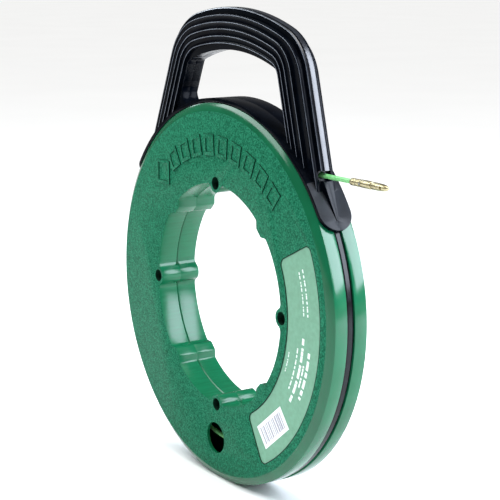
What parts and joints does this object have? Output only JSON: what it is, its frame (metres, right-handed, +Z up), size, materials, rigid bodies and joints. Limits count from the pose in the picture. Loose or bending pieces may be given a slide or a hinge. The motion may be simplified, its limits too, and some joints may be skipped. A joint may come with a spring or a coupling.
{
  "type": "fish tape reel",
  "caption": "Hand reel for an electrician's glass fibre fish tape: a round green case turns in a black carrying handle, and the tape with its brass tip leaves through the handle's foot.",
  "frame": {"origin": "middle of the round hub opening, half way through the disc", "axes": "+Y along the disc's axis, away from its labelled face; +Z up through the carrying handle; +X the way the tape leaves"},
  "size_m": [0.3875, 0.04, 0.427],
  "materials": {
    "case_green": "moulded ABS, fine grained on the faces and glossy on bevel, rim and hub",
    "label_green": "printed polyester film",
    "sticker_white": "printed paper label",
    "tape_glass_fibre": "pultruded glass fibre rod with a nylon jacket",
    "tip_brass": "turned brass, satin",
    "fixing_steel": "zinc plated steel",
    "insert_brass": "knurled brass",
    "guide_nylon": "moulded nylon",
    "ring_black": "moulded acetal",
    "handle_black": "moulded ABS, semi gloss"
  },
  "bodies": {
    "handle": {"handle_front": "handle_black", "handle_rear": "handle_black", "carrier_ring": "ring_black", "tape_guide": "guide_nylon", "handle_screw_1": "fixing_steel", "handle_screw_2": "fixing_steel", "handle_screw_3": "fixing_steel", "handle_screw_4": "fixing_steel"},
    "reel": {"case_front": "case_green", "case_rear": "case_green", "label_plate": "label_green", "sticker": "sticker_white", "tape_coil": "tape_glass_fibre", "tape_anchor": "fixing_steel", "anchor_screw": "fixing_steel", "case_screw_1": "fixing_steel", "case_screw_2": "fixing_steel", "case_screw_3": "fixing_steel", "case_screw_4": "fixing_steel", "case_insert_1": "insert_brass", "case_insert_2": "insert_brass", "case_insert_3": "insert_brass", "case_insert_4": "insert_brass"},
    "tape_end": {"tape_leader": "tape_glass_fibre", "tip_ferrule": "tip_brass", "tip_nose": "tip_brass", "tip_pin": "fixing_steel"}
  },
  "joints": [
    {"name": "reel_spin", "type": "hinge", "parent": "handle", "child": "reel", "pos_m": [0, 0, 0], "axis": [0, 1, 0], "continuous": true},
    {"name": "tape_pull", "type": "slide", "parent": "handle", "child": "tape_end", "axis": [1, 0, 0], "range_m": [-0.036, 0.1]}
  ]
}
